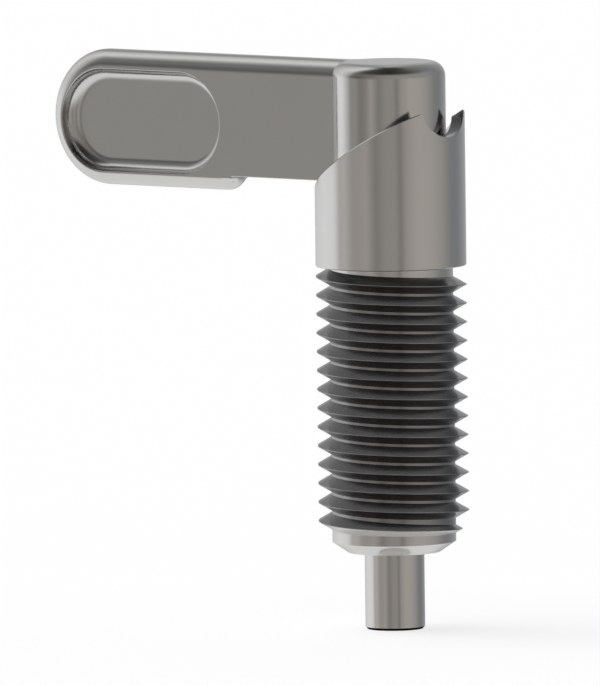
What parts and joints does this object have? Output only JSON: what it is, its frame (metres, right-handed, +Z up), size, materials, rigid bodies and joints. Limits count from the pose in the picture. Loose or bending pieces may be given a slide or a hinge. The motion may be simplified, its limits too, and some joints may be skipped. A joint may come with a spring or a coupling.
{
  "type": "indexing plunger",
  "caption": "Threaded indexing plunger whose turned lever rides the oblique edge of a cam sleeve and draws the sprung locating pin back into the body.",
  "frame": {"origin": "on the axis, where the mounting thread meets the underside of the cam sleeve", "axes": "+Z up the axis from the thread to the lever, the lever's arm along -X at rest, the thumb recess facing -Y and the parking notch on the +X side"},
  "size_m": [0.0393, 0.012, 0.0453],
  "materials": {
    "turned_steel": "turned stainless steel, satin, with fine lathe lines",
    "ground_steel": "ground stainless steel, smooth satin",
    "cast_steel": "investment-cast stainless steel, matt blasted",
    "spring_steel": "drawn stainless spring wire"
  },
  "bodies": {
    "body": {"guide_body": "turned_steel", "spring_retainer": "turned_steel", "compression_spring": "spring_steel"},
    "plunger": {"plunger_pin": "ground_steel"},
    "lever": {"cam_lever": "cast_steel", "lever_dowel": "ground_steel"}
  },
  "joints": [
    {"name": "pin_lift", "type": "slide", "parent": "body", "child": "plunger", "axis": [0, 0, 1], "range_m": [0, 0.0066], "deforming": ["compression_spring"]},
    {"name": "lever_turn", "type": "hinge", "parent": "plunger", "child": "lever", "pos_m": [0, 0, 0.0098], "axis": [0, 0, 1], "range_deg": [0, 145], "stiffness_Nm_per_rad": 0.0098, "springref_deg": -111.73}
  ],
  "couplings": [
    {"joint": "pin_lift", "follows": "lever_turn", "m_per_rad": 0.00256}
  ]
}
